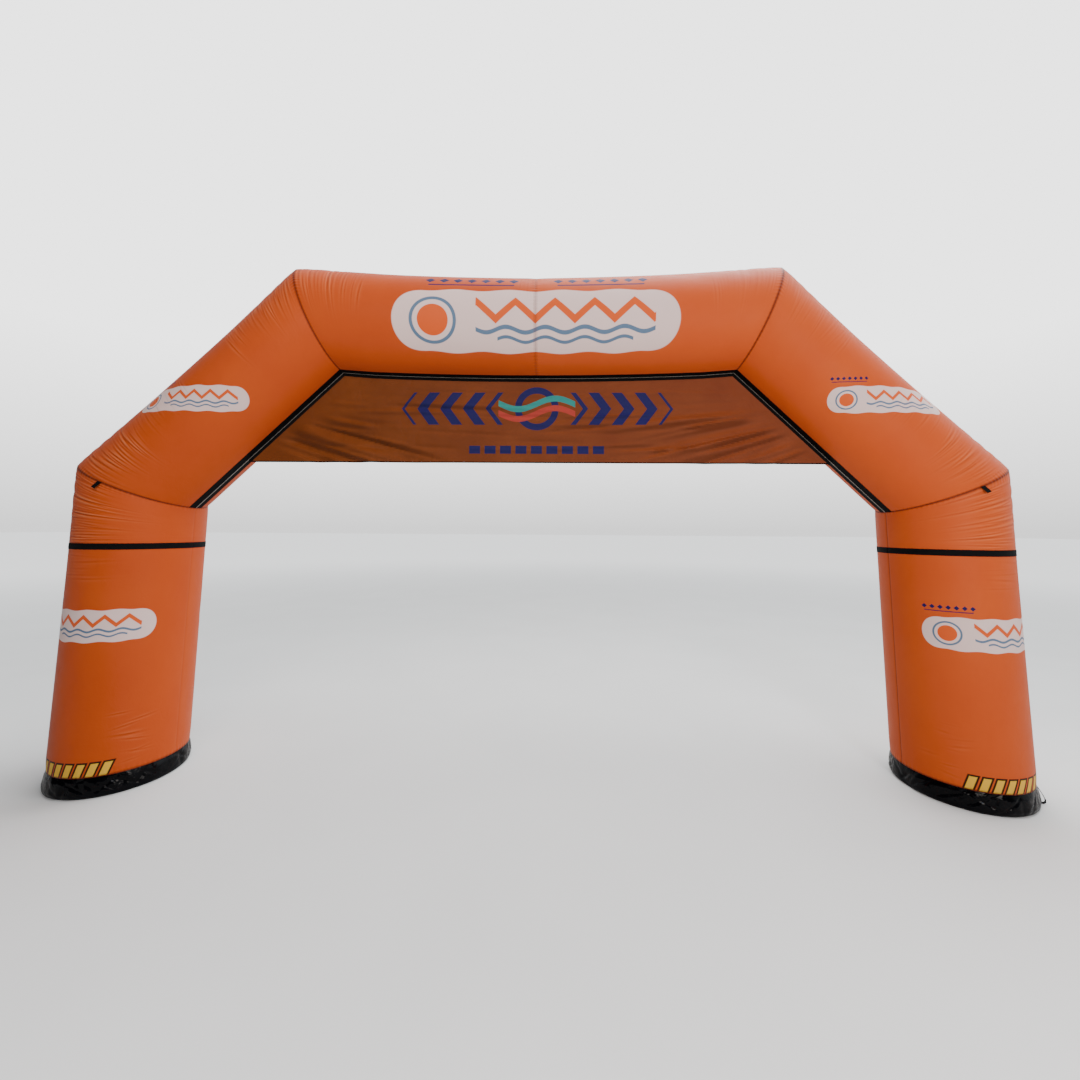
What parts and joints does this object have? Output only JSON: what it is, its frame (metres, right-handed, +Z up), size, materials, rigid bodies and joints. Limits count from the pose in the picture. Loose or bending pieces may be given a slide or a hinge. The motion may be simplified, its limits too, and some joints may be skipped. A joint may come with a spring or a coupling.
{
  "type": "inflatable arch",
  "caption": "Free-standing inflatable archway of round air-filled tube with mitred corners, black foot skirts and a zipped-in banner under its beam.",
  "frame": {"origin": "on the ground, midway between the two feet, in the plane of the arch", "axes": "+X along the span towards the right leg as seen from the front, -Y towards the front, +Z up"},
  "size_m": [8.0388, 0.9606, 4.453],
  "materials": {
    "tube_nylon": "coated nylon, soft sheen",
    "banner_cloth": "thin polyester, matt",
    "skirt_vinyl": "glossy vinyl-coated cloth",
    "webbing": "woven tape, matt",
    "zip_coil": "moulded coil, satin"
  },
  "bodies": {
    "root": {"leg_right": "tube_nylon", "leg_left": "tube_nylon", "shoulder_right": "tube_nylon", "shoulder_left": "tube_nylon", "beam_right": "tube_nylon", "beam_left": "tube_nylon", "skirt_right": "skirt_vinyl", "skirt_left": "skirt_vinyl", "leg_band_right": "webbing", "leg_band_left": "webbing", "zip_tape_right": "webbing", "zip_tape_left": "webbing", "zip_coil_right": "zip_coil", "zip_coil_left": "zip_coil", "banner_heading_right": "webbing", "banner_heading_left": "webbing", "banner": "banner_cloth", "banner_hem": "webbing", "tab_right": "webbing", "tab_left": "webbing", "peg_loop_right": "webbing"}
  },
  "joints": []
}
